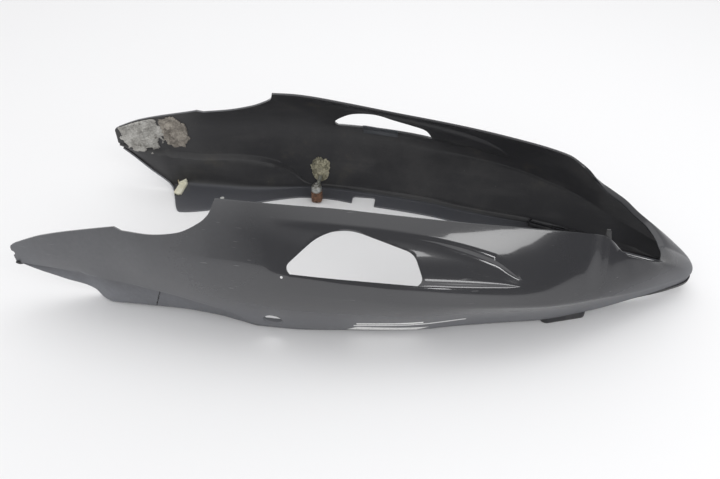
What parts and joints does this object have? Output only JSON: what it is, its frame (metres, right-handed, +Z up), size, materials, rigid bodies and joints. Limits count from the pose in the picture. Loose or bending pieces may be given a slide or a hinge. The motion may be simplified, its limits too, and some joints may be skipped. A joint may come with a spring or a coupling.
{
  "type": "motorcycle tail fairing",
  "caption": "One-piece moulded scooter tail fairing with two side panels joined at a pointed tail, windows, lamp opening and a repaired lug.",
  "frame": {"origin": "middle of the outline at the level of the lower edges it lies on", "axes": "+X to the tail tip, +Y to the side with the repairs, +Z up"},
  "size_m": [0.9005, 0.368, 0.186],
  "materials": {
    "black_gloss": "gloss",
    "putty": "matte",
    "foam": "matte",
    "black_tape": "satin",
    "glue": "satin",
    "pale_metal": "satin",
    "zinc": "satin",
    "rust": "matte"
  },
  "bodies": {
    "root": {"tail_shell": "black_gloss", "front_putty": "putty", "rear_putty": "putty", "foam_pad": "foam", "window_pad": "black_tape", "hole_glue": "glue", "lug_rod": "pale_metal", "lug_bolt": "zinc", "lug_bush": "rust"}
  },
  "joints": []
}
